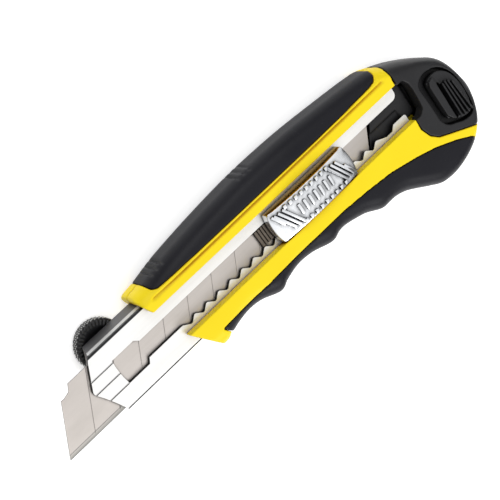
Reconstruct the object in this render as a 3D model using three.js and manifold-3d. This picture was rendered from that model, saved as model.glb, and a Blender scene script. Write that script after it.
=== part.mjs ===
// Snap-off utility knife: a steel rail carries an 18 mm blade and its spares, between two yellow shells
// with soft black grips, a die-cast slider, a clamp wheel at the nose and a latched end cap.
//
// The knife is drawn lying on its back. X runs from the blade's tip to the tail, Y from the cutting edge
// to the spine, and Z up through the knife from the face that it rests on. Millimetres.

import * as THREE from 'three';
import { mergeVertices } from 'three/addons/utils/BufferGeometryUtils.js';
import Module from 'manifold-3d';

const wasm = await Module();
wasm.setup();

// ---------------------------------------------------------------- driving dimensions

const BLADE_WIDTH = 18;
const BLADE_LENGTH = 100;
const BLADE_THICKNESS = 0.5;
const BLADE_SPACING = 0.65;
const SCORE_ANGLE = THREE.MathUtils.degToRad(60);
const SCORE_PITCH = 10;
const SCORES = 8;
const GROUND_WIDTH = 1.4;
const BLADE_TOP = 12.5;
const SPARE_BLADES = 3;
const SPARE_SETBACK = 29.4;
const PIN_HOLE = { x: 93.5, y: 9.2, radius: 1.7 };

const SHEET = 0.7;
const RAIL_TOP = 13.5;
const RAIL_FLOOR = 4.6;
const RAIL_LOW = -0.85;
const RAIL_HIGH = 20.2;
const RAIL_NOSE = 17.4;
const RAIL_END = 150;
const SLOT_LOW = 6.9;
const SLOT_HIGH = 12.9;
const TOOTH_PITCH = 5;
const TOOTH_DEPTH = 1.5;
const TOOTH_START = 53.2;
const TOOTH_COUNT = 17;
const NOSE_WINDOW = { start: 27.4, neck: 36.7, low: 5.3, high: 14.2 };
const NOSE_GROOVES = { places: [13.6, 9.65, 5.45], width: 0.5, depth: 0.4 };

const FACE = 17.1;
const SPLIT = 8.5;
const EDGE_RADIUS = 6;
const GRIP_THICKNESS = 2.2;
const CHANNEL_LOW = 4.4;
const CHANNEL_HIGH = 17.3;
const HANDLE_START = 43;
const HANDLE_END = 172.8;
const FIT = 0.15;
const SEAM = 0.15;

const WHEEL = { x: 30, y: 16.4, radius: 8.1, low: 0.4, high: 4.3, ridges: 36, ridge: 0.45, nut: 2.3 };
const SLIDER = { start: 89.5, end: 123.7, low: 5, high: 15.4, base: 13.65, shoulder: 18.6, crown: 20.4 };
const SLIDER_RIBS = { perEnd: 3, from: 9.4, pitch: 2.2, width: 0.8, length: 7.4, lean: 0.45 };
const SLIDER_RIVETS = [[96.8, 9.9], [117.5, 9.9]];
const LATCH = { floor: 14.6, low: 15.6, high: 17.7, rib: 19.1 };
const LATCH_RIBS = {
  count: 4, x: 163.4, y: 1.7, pitch: 1.35, drop: 0.3, width: 0.75, length: 13.4, taper: 1.1, lean: -0.09,
};
const LATCH_SPRING = { x: 165.4, y: 2.2, radius: 1.5, wire: 0.22, height: 1.95, turns: 3, low: 13.25 };
const RAIL_SCREWS = [[52, 9.9], [96, 9.9], [140, 9.9]];
const SCREW = { head: 2.7, shank: 1.3, headLow: 0.3, headHigh: 1.9, end: 6.1, clearance: 0.25 };

// ---------------------------------------------------------------- outlines

// Spine of the closed handle, from the shells' nose over the top grip to the tail.
const SPINE = [
  [43, 23.2], [44.5, 23.9], [48.5, 24.4], [58, 26.2], [73, 27.8], [89, 28.9], [98.5, 29.1],
  [114.5, 28.7], [134.5, 27.1], [143, 26.2], [147, 25.5], [151, 23.9], [157.4, 21.1], [165.2, 16.5],
  [169.3, 13], [171.5, 8.2], [172.5, 3.9], [172.8, -0.5],
];
// Belly of the handle, with its four finger hollows.
const BELLY = [
  [43, -7], [57.8, -7.2], [61.5, -6.3], [65.5, -5.3], [70, -4.8], [74.9, -5.4], [81.6, -7.9],
  [85, -6.6], [91, -5.3], [97.2, -5.8], [104.4, -7.9], [108, -7], [111.6, -7], [118.9, -8.8],
  [124.5, -11.6], [128, -11.8], [131.1, -12], [135.7, -13.5], [143, -17.8], [147.1, -20],
  [151.4, -20.6], [155.5, -20.3], [159.9, -19.2], [164.5, -17.1], [168.5, -13.4], [171.4, -8.4],
  [172.5, -4.4], [172.8, -0.5],
];
// Where the top grip, the finger grip and the end cap meet the yellow shells.
const TOP_GRIP_EDGE = [
  [49.6, 40], [48.6, 24.2], [49, 22.6], [50.8, 21.9], [118.8, 22.1], [142.4, 22.6], [144.8, 22.9],
  [146.4, 24], [148.4, 27], [148.8, 40],
];
const FINGER_GRIP_EDGE = [
  [62.2, -30], [62, -6.2], [58.7, -1.6], [102.4, -1.1], [112.1, -1.2], [122.1, -1.9], [132.3, -3],
  [142.8, -5.4], [150, -7.5], [157.5, -10.6], [162.5, -13.2], [164.6, -15], [166, -30],
];
const CAP_EDGE = [
  [151.6, 40], [151.1, 24.5], [150.7, 21], [150.4, 17.3], [149.4, 4], [149.3, 0.4], [150.6, -3],
  [153.1, -5.5], [158, -7.7], [165.6, -11], [185, -19.5], [185, 40],
];
const NOSE_CUT = [
  [40, 40], [45.6, 40], [45.2, 25.2], [43.9, 24.2], [43.2, 22.6], [43.8, 20.4], [45.1, 17.3],
  [45.1, 12], [40, 12],
];
const CHIN_CUT = [
  [40, 12], [45, 12], [49.4, 4.4], [57.1, -6.6], [57.7, -7], [59.3, -6.2], [60.7, -4.5], [63.5, -7.4],
  [63.5, -30], [40, -30],
];

// ---------------------------------------------------------------- geometry helpers

function finish(color, roughness, metalness) {
  return new THREE.MeshStandardMaterial({ color, roughness, metalness });
}

const yellowPlastic = finish('#f5dd28', 0.38, 0);
const softBlack = finish('#1f1f24', 0.72, 0);
const hardBlack = finish('#3b3b3e', 0.5, 0);
const polishedSteel = finish('#d9dbde', 0.2, 1);
const bladeSteel = finish('#c9bdb6', 0.35, 0.9);
const springSteel = finish('#9a9ca0', 0.3, 1);
const castZinc = finish('#cfd3d8', 0.24, 1);

function solidOf(geometry) {
  geometry.deleteAttribute('normal');
  geometry.deleteAttribute('uv');
  const merged = mergeVertices(geometry, 1e-5);
  return new wasm.Manifold(new wasm.Mesh({
    numProp: 3,
    vertProperties: merged.attributes.position.array,
    triVerts: Uint32Array.from(merged.index.array),
  }));
}

function piece(name, solid, material) {
  const { vertProperties, triVerts } = solid.getMesh();
  const geometry = new THREE.BufferGeometry();
  geometry.setAttribute('position', new THREE.BufferAttribute(vertProperties, 3));
  geometry.setIndex(new THREE.BufferAttribute(triVerts, 1));
  geometry.computeVertexNormals();
  const mesh = new THREE.Mesh(geometry, material);
  mesh.name = name;
  return mesh;
}

const shapeOf = (points) => new THREE.Shape(points.map(([x, y]) => new THREE.Vector2(x, y)));

function flatPrism(shape, low, high) {
  const options = { depth: high - low, bevelEnabled: false, curveSegments: 8 };
  return solidOf(new THREE.ExtrudeGeometry(shape, options).translate(0, 0, low));
}

// A prism whose outline is drawn in X and Z, standing between two values of Y.
function sidePrism(points, low, high) {
  const geometry = new THREE.ExtrudeGeometry(shapeOf(points), { depth: high - low, bevelEnabled: false });
  return solidOf(geometry.rotateX(Math.PI / 2).translate(0, high, 0));
}

function block([x0, x1], [y0, y1], [z0, z1]) {
  const geometry = new THREE.BoxGeometry(x1 - x0, y1 - y0, z1 - z0);
  return solidOf(geometry.translate((x0 + x1) / 2, (y0 + y1) / 2, (z0 + z1) / 2));
}

function disc(x, y, radius, low, high, sides = 24, lowRadius = radius) {
  const geometry = new THREE.CylinderGeometry(radius, lowRadius, high - low, sides);
  return solidOf(geometry.rotateX(Math.PI / 2).translate(x, y, (low + high) / 2));
}

const joined = (solids) => solids.reduce((whole, solid) => whole.add(solid));
const shiftedOutline = (points, dx, dy) => points.map(([x, y]) => [x + dx, y + dy]);

// ---------------------------------------------------------------- handle

const curveOf = (points) => new THREE.SplineCurve(points.map(([x, y]) => new THREE.Vector2(x, y)));
const spineLine = curveOf(SPINE).getPoints(300);
const bellyLine = curveOf(BELLY).getPoints(400);

function heightAt(line, x) {
  const next = line.findIndex((point) => point.x >= x);
  if (next <= 0) return line[0].y;
  const from = line[next - 1];
  const to = line[next];
  return from.y + (to.y - from.y) * (x - from.x) / (to.x - from.x);
}

function handleStations() {
  const stations = [HANDLE_START];
  for (let x = 46; x < 164; x += 2.7) stations.push(x);
  const tail = HANDLE_END - 166;
  for (let step = 0; step <= 6; step += 1) {
    stations.push(166 + tail * Math.sin(step / 6 * Math.PI / 2) * 0.998);
  }
  return stations;
}

// The whole handle as one bar: rings of a rounded rectangle that follow the spine and the belly.
// inset shrinks it evenly, which gives the hard core under the soft grips.
function handleBar(inset) {
  const perCorner = 5;
  const sides = 4 * perCorner;
  const stations = handleStations();
  const bar = new THREE.CylinderGeometry(1, 1, stations.length - 1, sides, stations.length - 1);
  const position = bar.attributes.position;
  const tailRound = 5;
  for (let i = 0; i < position.count; i += 1) {
    const ring = Math.round(position.getY(i) + (stations.length - 1) / 2);
    const x = stations[ring];
    const intoTail = Math.max(0, (x - (HANDLE_END - tailRound)) / tailRound);
    const shrink = inset + tailRound * (1 - Math.sqrt(1 - Math.min(intoTail, 0.98) ** 2)) * 0.7;
    const top = heightAt(spineLine, x) - inset;
    const bottom = heightAt(bellyLine, x) + inset;
    const middle = (top + bottom) / 2;
    const halfWidth = Math.max((top - bottom) / 2, 0.5);
    const halfDepth = FACE / 2 - shrink;
    const radius = Math.min(EDGE_RADIUS, halfWidth * 0.9, halfDepth * 0.9);
    const atCentre = Math.hypot(position.getX(i), position.getZ(i)) < 0.5;
    const turn = Math.atan2(position.getX(i), position.getZ(i));
    const step = Math.round((turn + 2 * Math.PI) / (2 * Math.PI) * sides) % sides;
    const corner = Math.floor(step / perCorner);
    const angle = (corner + (step % perCorner) / (perCorner - 1)) * Math.PI / 2;
    const right = corner === 0 || corner === 3 ? 1 : -1;
    const front = corner < 2 ? 1 : -1;
    const y = middle + right * (halfWidth - radius) + radius * Math.cos(angle);
    const z = FACE / 2 + front * (halfDepth - radius) + radius * Math.sin(angle);
    position.setXYZ(i, x, atCentre ? middle : y, atCentre ? FACE / 2 : z);
  }
  return solidOf(bar);
}

const everyHeight = (points) => flatPrism(shapeOf(points), -5, 30);
const handleWhole = handleBar(0);
const handleCore = handleBar(GRIP_THICKNESS);
const topGripZone = everyHeight(TOP_GRIP_EDGE);
const fingerGripZone = everyHeight(FINGER_GRIP_EDGE);
const capZone = everyHeight(CAP_EDGE);

function topGrip() {
  return handleWhole.intersect(topGripZone).subtract(handleBar(GRIP_THICKNESS - SEAM));
}

function fingerGrip() {
  return handleWhole.intersect(fingerGripZone).subtract(handleBar(GRIP_THICKNESS - SEAM));
}

// Both yellow shells before they are split: skin between the soft grips, core beneath them.
function shellsWhole() {
  const skin = handleWhole
    .subtract(everyHeight(shiftedOutline(TOP_GRIP_EDGE, 0, -SEAM)))
    .subtract(everyHeight(shiftedOutline(TOP_GRIP_EDGE, SEAM, 0)))
    .subtract(everyHeight(shiftedOutline(TOP_GRIP_EDGE, -SEAM, 0)))
    .subtract(everyHeight(shiftedOutline(FINGER_GRIP_EDGE, 0, SEAM)))
    .subtract(everyHeight(shiftedOutline(FINGER_GRIP_EDGE, -SEAM, 0)));
  const channel = block([30, 160], [RAIL_LOW - FIT, RAIL_HIGH + FIT], [RAIL_FLOOR - FIT, RAIL_TOP + FIT]);
  return skin.add(handleCore)
    .subtract(everyHeight(shiftedOutline(CAP_EDGE, -2 * SEAM, 0)))
    .subtract(everyHeight(shiftedOutline(CAP_EDGE, -SEAM, -2 * SEAM)))
    .subtract(everyHeight(NOSE_CUT))
    .subtract(everyHeight(CHIN_CUT))
    .subtract(channel);
}

const shells = shellsWhole();

function frontShell() {
  const sliderWay = block([30, 160], [CHANNEL_LOW, CHANNEL_HIGH], [RAIL_TOP - 1, 30]);
  const upperArm = block([146, 153.5], [RAIL_HIGH + FIT, 21.6], [SPLIT + SEAM, 9.8]);
  const lowerArm = block([146, 153.5], [-2, RAIL_LOW - FIT], [SPLIT + SEAM, 9.8]);
  const bridge = block([150.4, 153.5], [-2, 21.6], [SPLIT + SEAM, 9.8]);
  const front = shells.intersect(block([30, 200], [-40, 60], [SPLIT + SEAM, 40])).subtract(sliderWay);
  return joined([front, upperArm, lowerArm, bridge]);
}

function backShell() {
  const { shank, head, headHigh, clearance } = SCREW;
  const screwHoles = RAIL_SCREWS.map(([x, y]) => disc(x, y, shank + clearance, -1, 6)
    .add(disc(x, y, head + clearance, -1, headHigh + 0.2)));
  return shells.intersect(block([30, 200], [-40, 60], [-5, SPLIT])).subtract(joined(screwHoles));
}

function railScrew([x, y]) {
  const drive = block([x - 2, x + 2], [y - 0.35, y + 0.35], [0, 0.9])
    .add(block([x - 0.35, x + 0.35], [y - 2, y + 2], [0, 0.9]));
  return disc(x, y, SCREW.head, SCREW.headLow, SCREW.headHigh).subtract(drive)
    .add(disc(x, y, SCREW.shank, SCREW.headHigh - 0.1, SCREW.end));
}

// ---------------------------------------------------------------- rail

function railFrontOutline() {
  const outline = new THREE.Shape();
  outline.moveTo(22.7, RAIL_HIGH);
  outline.lineTo(21.6, 18.8);
  outline.lineTo(RAIL_NOSE, 11.1);
  outline.quadraticCurveTo(RAIL_NOSE - 0.3, 10.3, RAIL_NOSE + 0.1, 9.6);
  outline.lineTo(18.8, 7.4);
  outline.lineTo(20.7, 3.6);
  outline.lineTo(22.6, RAIL_LOW);
  outline.lineTo(RAIL_END - 1, RAIL_LOW);
  outline.lineTo(RAIL_END - 1, SLOT_LOW - 0.4);
  outline.lineTo(RAIL_END - 1.6, SLOT_LOW);
  outline.lineTo(143.6, SLOT_LOW);
  outline.lineTo(142, SLOT_LOW - TOOTH_DEPTH);
  outline.lineTo(139.4, SLOT_LOW - TOOTH_DEPTH);
  for (let tooth = TOOTH_COUNT - 1; tooth >= 0; tooth -= 1) {
    const valley = TOOTH_START + tooth * TOOTH_PITCH;
    outline.lineTo(valley + 2.6, SLOT_LOW);
    outline.lineTo(valley + 2, SLOT_LOW);
    outline.lineTo(valley + 0.2, SLOT_LOW - TOOTH_DEPTH);
    outline.lineTo(valley - 0.4, SLOT_LOW - TOOTH_DEPTH);
  }
  outline.lineTo(50.4, SLOT_LOW);
  outline.lineTo(NOSE_WINDOW.neck, SLOT_LOW);
  outline.lineTo(NOSE_WINDOW.neck - 1.1, NOSE_WINDOW.low);
  outline.lineTo(NOSE_WINDOW.start, NOSE_WINDOW.low);
  outline.quadraticCurveTo(NOSE_WINDOW.start - 0.8, 9.7, NOSE_WINDOW.start, NOSE_WINDOW.high);
  outline.lineTo(NOSE_WINDOW.neck - 0.8, NOSE_WINDOW.high);
  outline.lineTo(NOSE_WINDOW.neck + 0.7, SLOT_HIGH);
  outline.lineTo(RAIL_END - 2, SLOT_HIGH);
  outline.quadraticCurveTo(RAIL_END, SLOT_HIGH + 0.2, RAIL_END, SLOT_HIGH + 2.4);
  outline.lineTo(RAIL_END, RAIL_HIGH);
  return outline;
}

function rail() {
  const front = flatPrism(railFrontOutline(), RAIL_TOP - SHEET, RAIL_TOP);
  const wallEnd = RAIL_END - 1;
  const wallTop = RAIL_TOP - 0.2;
  const wallOutline = [[22.8, wallTop], [24.9, RAIL_FLOOR], [wallEnd, RAIL_FLOOR], [wallEnd, wallTop]];
  const spineWall = sidePrism(wallOutline, RAIL_HIGH - SHEET, RAIL_HIGH);
  const edgeWall = sidePrism(wallOutline, RAIL_LOW, RAIL_LOW + SHEET);
  const backOutline = [
    [25, RAIL_HIGH], [23.6, 17.6], [20.4, 11.4], [20.4, 9], [25, RAIL_LOW],
    [RAIL_END - 1, RAIL_LOW], [RAIL_END - 1, RAIL_HIGH],
  ];
  const back = flatPrism(shapeOf(backOutline), RAIL_FLOOR, RAIL_FLOOR + SHEET);
  const holes = RAIL_SCREWS.map(([x, y]) => disc(x, y, SCREW.shank + 0.1, 0, 8));
  holes.push(disc(WHEEL.x, WHEEL.y, WHEEL.nut + 0.15, 0, 8));
  const { places, width, depth } = NOSE_GROOVES;
  const grooveEnd = NOSE_WINDOW.start - 0.1;
  for (const y of places) {
    holes.push(block([15, grooveEnd], [y - width / 2, y + width / 2], [RAIL_TOP - depth, RAIL_TOP + 1]));
  }
  return joined([front, spineWall, edgeWall, back]).subtract(joined(holes));
}

// ---------------------------------------------------------------- blades

// One blade with its tip at x: a ground cutting edge, a slanted snapped front with a small step near the
// spine, shallow score lines on its front face, and the hole that the slider's pin drops into.
function blade(x, top) {
  const slant = BLADE_WIDTH / Math.tan(SCORE_ANGLE);
  const along = (y) => y / Math.tan(SCORE_ANGLE);
  const outline = shapeOf([
    [x, 0], [x + BLADE_LENGTH, 0], [x + BLADE_LENGTH + slant, BLADE_WIDTH], [x + slant + 3.2, BLADE_WIDTH],
    [x + along(BLADE_WIDTH) + 1.8, 15.9], [x + along(15.4) + 1, 15.3], [x + along(15.4), 15.4],
  ]);
  const bottom = top - BLADE_THICKNESS;
  const middle = (top + bottom) / 2;
  const pinHole = disc(x + PIN_HOLE.x, PIN_HOLE.y, PIN_HOLE.radius, bottom - 1, top + 1);
  let body = flatPrism(outline, bottom, top).subtract(pinHole);
  for (const side of [1, -1]) {
    const ground = new THREE.BoxGeometry(BLADE_LENGTH + 40, 6, 2).translate(BLADE_LENGTH / 2 + x, 0, side);
    const lean = side * Math.atan2(BLADE_THICKNESS / 2, GROUND_WIDTH);
    body = body.subtract(solidOf(ground.rotateX(lean).translate(0, 0, middle)));
  }
  for (let score = 1; score <= SCORES; score += 1) {
    const groove = new THREE.BoxGeometry(0.24, 40, 0.24).rotateY(Math.PI / 4);
    groove.rotateZ(SCORE_ANGLE - Math.PI / 2);
    const start = x + score * SCORE_PITCH + along(BLADE_WIDTH / 2);
    body = body.subtract(solidOf(groove.translate(start, BLADE_WIDTH / 2, top + 0.06)));
  }
  return body;
}

// ---------------------------------------------------------------- slider

function sliderButton() {
  const { start, end, low, high, base, shoulder, crown } = SLIDER;
  const middle = (start + end) / 2;
  const profile = new THREE.Shape();
  profile.moveTo(start, base);
  profile.lineTo(end, base);
  profile.lineTo(end, shoulder);
  profile.quadraticCurveTo(middle, 2 * crown - shoulder - 0.9, start, shoulder);
  const extent = { depth: high - low, bevelEnabled: false, curveSegments: 12 };
  const geometry = new THREE.ExtrudeGeometry(profile, extent);
  let body = solidOf(geometry.rotateX(Math.PI / 2).translate(0, high, 0));
  for (const side of [-1, 1]) {
    for (let rib = 0; rib < SLIDER_RIBS.perEnd; rib += 1) {
      const bar = new THREE.BoxGeometry(SLIDER_RIBS.width, SLIDER_RIBS.length, 1.6).rotateZ(SLIDER_RIBS.lean);
      const place = middle + side * (SLIDER_RIBS.from + rib * SLIDER_RIBS.pitch);
      body = body.add(solidOf(bar.translate(place, (low + high) / 2, shoulder - 0.05 + (2 - rib) * 0.25)));
    }
  }
  const springRoom = block([99.5, 114.5], [6.2, 14.2], [base - 1, 16.8]);
  const rivetHoles = joined(SLIDER_RIVETS.map(([x, y]) => disc(x, y, 1.3, base - 1, 16.2)));
  return body.subtract(springRoom).subtract(rivetHoles);
}

function sliderCarrier() {
  const runner = block([85.2, 122], [SLOT_LOW + 0.3, SLOT_HIGH - 0.3], [BLADE_TOP + 0.1, RAIL_TOP + 0.05]);
  const footOutline = shapeOf([[112.2, 2], [121.4, 2], [121.4, 16], [117.2, 16], [112.2, 6]]);
  const foot = flatPrism(footOutline, BLADE_TOP - 0.5, BLADE_TOP + 0.02);
  const web = block([113, 121], [SLOT_LOW + 0.3, SLOT_HIGH - 0.3], [BLADE_TOP - 0.3, BLADE_TOP + 0.3]);
  const pin = disc(PIN_HOLE.x, PIN_HOLE.y, PIN_HOLE.radius - 0.3, BLADE_TOP - 0.42, BLADE_TOP + 0.3, 16);
  const holes = joined(SLIDER_RIVETS.map(([x, y]) => disc(x, y, 1.3, 12, 15)));
  let body = joined([runner, foot, web, pin]).subtract(holes);
  for (let groove = 0; groove < 3; groove += 1) {
    const x = 86 + groove * 1.1;
    body = body.subtract(block([x, x + 0.45], [5, 15], [RAIL_TOP - 0.35, RAIL_TOP + 1]));
  }
  return body;
}

function sliderRivet([x, y]) {
  return disc(x, y, 1.15, BLADE_TOP + 0.2, 16, 16);
}

// A leaf that arches between the slider's roof and its runner; its nose drops towards the rail's teeth.
function lockSpring() {
  const leaf = sidePrism([
    [100.2, 13.8], [101.4, 13.8], [104, 16.2], [110, 16.2], [112.6, 13.8], [113.8, 13.8], [113.8, 14.1],
    [112.8, 14.1], [110.2, 16.5], [103.8, 16.5], [101.2, 14.1], [100.2, 14.1],
  ], 8.6, 11.4);
  return leaf.add(block([105.8, 108.2], [7.2, 9], [15.4, 16.4]));
}

// ---------------------------------------------------------------- nose clamp

function lockWheel() {
  const rim = [];
  for (let step = 0; step < 2 * WHEEL.ridges; step += 1) {
    const angle = step / WHEEL.ridges * Math.PI;
    const radius = WHEEL.radius - (step % 2) * WHEEL.ridge;
    rim.push([WHEEL.x + radius * Math.cos(angle), WHEEL.y + radius * Math.sin(angle)]);
  }
  const face = disc(WHEEL.x, WHEEL.y, 5.6, WHEEL.high - 0.4, WHEEL.high + 1, 36);
  return flatPrism(shapeOf(rim), WHEEL.low, WHEEL.high)
    .subtract(face)
    .subtract(disc(WHEEL.x, WHEEL.y, WHEEL.nut + 0.1, 0, 8));
}

function wheelNut() {
  return disc(WHEEL.x, WHEEL.y, WHEEL.nut, WHEEL.low + 0.3, 7).subtract(disc(WHEEL.x, WHEEL.y, 1.65, 0, 8));
}

function wheelClip() {
  const gap = block([WHEEL.x, WHEEL.x + 6], [WHEEL.y - 1.2, WHEEL.y + 1.2], [5, 7]);
  const bore = disc(WHEEL.x, WHEEL.y, WHEEL.nut + 0.08, 5, 7);
  return disc(WHEEL.x, WHEEL.y, WHEEL.nut + 0.75, 5.6, 6.2).subtract(bore).subtract(gap);
}

function clampStud() {
  const slot = block([WHEEL.x - 2, WHEEL.x + 2], [WHEEL.y - 0.3, WHEEL.y + 0.3], [0, 2]);
  return disc(WHEEL.x, WHEEL.y, 1.55, 1.2, 11, 20).subtract(slot);
}

function clampPlate() {
  return flatPrism(shapeOf([[22.6, 2], [28.4, 2], [37.4, 17.8], [24.6, 18.6]]), 11.05, 11.9);
}

// ---------------------------------------------------------------- magazine

// Holds the spare blades' tails, stops them from behind, and reaches into the cap as a tongue that the
// latch hooks under.
function magazineBlock() {
  const shelf = block([128.5, 148.6], [0.8, 19], [5.75, 9.9]);
  const stop = flatPrism(shapeOf([[131, 0.8], [148.6, 0.8], [148.6, 9.6], [136.1, 9.6]]), 9.5, 11.3);
  const highStop = flatPrism(shapeOf([[136.1, 9.4], [148.6, 9.4], [148.6, 19], [141.6, 19]]), 9.5, 11.9);
  const shoulder = block([148, 153.4], [4.5, 16.5], [10, 11.9]);
  const [screwX, screwY] = RAIL_SCREWS[2];
  const screwRoom = disc(screwX, screwY, SCREW.shank + 0.4, 5, 7);
  const tongue = block([153, 166], [4.5, 14], [10, 11.3]);
  const catchTooth = block([163, 164.2], [2.4, 13.2], [9, 10.2]);
  const way = block([159.6, 170], [5, 10.6], [8, 13]);
  return joined([shelf, stop, highStop, shoulder, tongue, catchTooth]).subtract(way).subtract(screwRoom);
}

function bladeFollower() {
  return flatPrism(shapeOf([[41, 1.4], [126, 1.4], [127.6, 3], [127.6, 18.4], [51, 18.4]]), 9.35, 9.85);
}

function followerSpring() {
  const thickness = 0.35;
  const bow = [[50, 7.2], [62, 5.95], [86, 8.9], [110, 5.95], [122, 7.2]];
  const line = new THREE.SplineCurve(bow.map(([x, z]) => new THREE.Vector2(x, z))).getPoints(24);
  const upper = line.map((point) => [point.x, point.y + thickness]).reverse();
  return sidePrism([...line.map((point) => [point.x, point.y]), ...upper], 6, 13.8);
}

// ---------------------------------------------------------------- end cap

const LATCH_PAD = [
  [161.4, 11.6], [159.6, 10.8], [158.9, 9.4], [158.9, -1.6], [160.2, -3.8], [164, -6.2], [167, -6.5],
  [168.6, -5], [169.4, -1], [169.2, 4.6], [167.6, 9], [164.6, 11.4],
];
const LATCH_POCKET = [
  [161.4, 13.4], [158.4, 12.8], [156.6, 10.6], [156.4, 3.6], [156.5, -1.6], [158, -4.6], [161, -6.2],
  [164.2, -7.5], [167.6, -7.5], [169.2, -5.7], [169.9, -1.2], [169.7, 4.9], [168, 9.6], [165.2, 12.5],
];

function endCap() {
  const recess = shapeOf([
    [145, 16.9], [152.9, 16.9], [154.2, 14.9], [154.5, 12.2], [154.1, 8.5], [153.6, 5.5], [151.8, 4.1],
    [145, 4.2],
  ]);
  const mouth = block([140, 153.9], [-2.4, 22], [3, 12.8]);
  const railRoom = block([140, RAIL_END + 0.4], [RAIL_LOW - FIT, RAIL_HIGH + FIT], [3, RAIL_TOP + FIT]);
  const tongueRoom = block([150, 167], [1.6, 15.4], [6, 12]);
  return handleWhole.intersect(capZone)
    .subtract(flatPrism(recess, 11, 30))
    .subtract(mouth)
    .subtract(railRoom)
    .subtract(tongueRoom)
    .subtract(flatPrism(shapeOf(LATCH_POCKET), LATCH.floor, 30))
    .subtract(block([159.8, 162.9], [5.2, 10.4], [11, 20]))
    .subtract(disc(LATCH_SPRING.x, LATCH_SPRING.y, LATCH_SPRING.radius + 0.6, 12.9, 16, 20));
}

function capLatch() {
  const pad = flatPrism(shapeOf(LATCH_PAD), LATCH.low, LATCH.high);
  const leg = block([160.4, 162.3], [5.8, 9.8], [8.9, LATCH.low + 0.5]);
  const barb = block([160.4, 162.5], [3, 12.4], [8.9, 9.6]);
  const { count, x, y, pitch, drop, width, length, taper, lean } = LATCH_RIBS;
  const ribs = [];
  for (let rib = 0; rib < count; rib += 1) {
    const bar = new THREE.BoxGeometry(width, length - taper * rib, LATCH.rib - LATCH.high + 0.6);
    bar.rotateZ(lean);
    ribs.push(solidOf(bar.translate(x + rib * pitch, y - rib * drop, (LATCH.rib + LATCH.high - 0.6) / 2)));
  }
  return joined([pad, leg, barb, ...ribs]);
}

class Helix extends THREE.Curve {
  constructor(radius, rise, turns) {
    super();
    Object.assign(this, { radius, rise, turns });
  }

  getPoint(t, target = new THREE.Vector3()) {
    const angle = t * this.turns * 2 * Math.PI;
    return target.set(this.radius * Math.cos(angle), this.radius * Math.sin(angle), this.rise * t);
  }
}

function latchSpring() {
  const { x, y, radius, wire: wireRadius, height, turns, low } = LATCH_SPRING;
  const wire = new THREE.Shape().absarc(0, 0, wireRadius, 0, 2 * Math.PI);
  const path = new Helix(radius, height, turns);
  const geometry = new THREE.ExtrudeGeometry(wire, { steps: 42, extrudePath: path, curveSegments: 3 });
  return solidOf(geometry.translate(x, y, low));
}

// ---------------------------------------------------------------- assembly

const knife = new THREE.Group();
knife.add(
  piece('front_shell', frontShell(), yellowPlastic),
  piece('back_shell', backShell(), yellowPlastic),
  piece('top_grip', topGrip(), softBlack),
  piece('finger_grip', fingerGrip(), softBlack),
  piece('rail', rail(), polishedSteel),
  ...RAIL_SCREWS.map((place, index) => piece(`rail_screw_${index + 1}`, railScrew(place), springSteel)),
  piece('active_blade', blade(0, BLADE_TOP), bladeSteel),
  piece('slider_button', sliderButton(), castZinc),
  piece('slider_carrier', sliderCarrier(), springSteel),
  ...SLIDER_RIVETS.map((place, index) => piece(`slider_rivet_${index + 1}`, sliderRivet(place), springSteel)),
  piece('lock_spring', lockSpring(), springSteel),
  piece('lock_wheel', lockWheel(), hardBlack),
  piece('wheel_nut', wheelNut(), springSteel),
  piece('wheel_clip', wheelClip(), springSteel),
  piece('clamp_stud', clampStud(), springSteel),
  piece('clamp_plate', clampPlate(), springSteel),
  piece('magazine_block', magazineBlock(), hardBlack),
  piece('blade_follower', bladeFollower(), hardBlack),
  piece('follower_spring', followerSpring(), springSteel),
  piece('end_cap', endCap(), hardBlack),
  piece('cap_latch', capLatch(), hardBlack),
  piece('latch_spring', latchSpring(), springSteel),
);
for (let spare = 1; spare <= SPARE_BLADES; spare += 1) {
  const spareBlade = blade(SPARE_SETBACK, BLADE_TOP - spare * BLADE_SPACING);
  knife.add(piece(`spare_blade_${spare}`, spareBlade, bladeSteel));
}

// The part's origin is under the middle of the whole knife, on the face it rests on.
const extent = new THREE.Box3().setFromObject(knife);
const middle = extent.getCenter(new THREE.Vector3());
knife.position.set(-middle.x, -middle.y, -extent.min.z);

const part = new THREE.Group();
part.add(knife);

export default part;
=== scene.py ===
# %% [markdown]
# A snap-off utility knife, lying on its back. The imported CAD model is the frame: it says where every
# piece is and which body it moves with. Each cell below adds one piece or one finish over that frame.

# %% Load the frame
import math

import bmesh
import bpy
from mathutils import Matrix, Vector


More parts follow.
